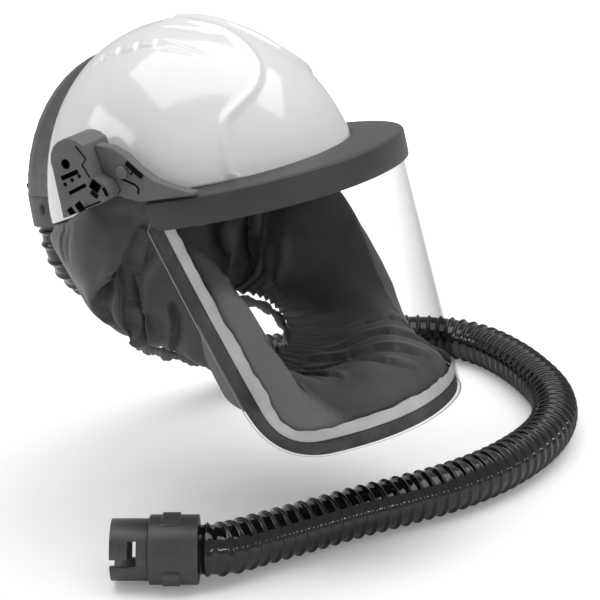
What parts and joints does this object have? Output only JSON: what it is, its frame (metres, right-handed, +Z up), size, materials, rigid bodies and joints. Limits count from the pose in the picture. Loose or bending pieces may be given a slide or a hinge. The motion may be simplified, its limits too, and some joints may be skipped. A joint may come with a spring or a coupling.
{
  "type": "powered-air helmet hood",
  "caption": "Protective air-fed helmet hood: hard crown, brow band with clear face visor, cloth hood with elastic neck hem, rear air duct and a corrugated breathing hose with bayonet connector.",
  "frame": {"origin": "where the head sits, at the middle of the crown's lower opening", "axes": "+X to the wearer's left, -Y forward, +Z up"},
  "size_m": [0.5552, 0.4046, 0.3818],
  "materials": {
    "shell_white": "high gloss",
    "plastic_grey": "fine moulded matt",
    "plastic_dark": "satin moulded",
    "visor_clear": "polished clear sheet",
    "trim_pale": "woven tape",
    "cloth_dark": "coated plain weave",
    "edge_dark": "flat felted band",
    "hose_black": "gloss, ribbed"
  },
  "bodies": {
    "root": {"helmet_shell": "shell_white", "rear_duct": "plastic_grey", "duct_outlet": "plastic_grey", "outlet_button": "plastic_dark", "pivot_block_right": "plastic_grey", "visor_arm_right": "plastic_grey", "arm_boss_right": "plastic_grey", "arm_pad_right": "plastic_dark", "chin_strip_right": "cloth_dark", "pivot_block_left": "plastic_grey", "visor_arm_left": "plastic_grey", "arm_boss_left": "plastic_grey", "arm_pad_left": "plastic_dark", "chin_strip_left": "cloth_dark", "brow_frame": "plastic_dark", "visor": "visor_clear", "visor_edge_band": "edge_dark", "visor_trim": "trim_pale", "hood": "cloth_dark", "neck_hem": "cloth_dark", "hose": "hose_black", "connector_collar": "plastic_dark", "connector_spigot": "plastic_dark"}
  },
  "joints": []
}
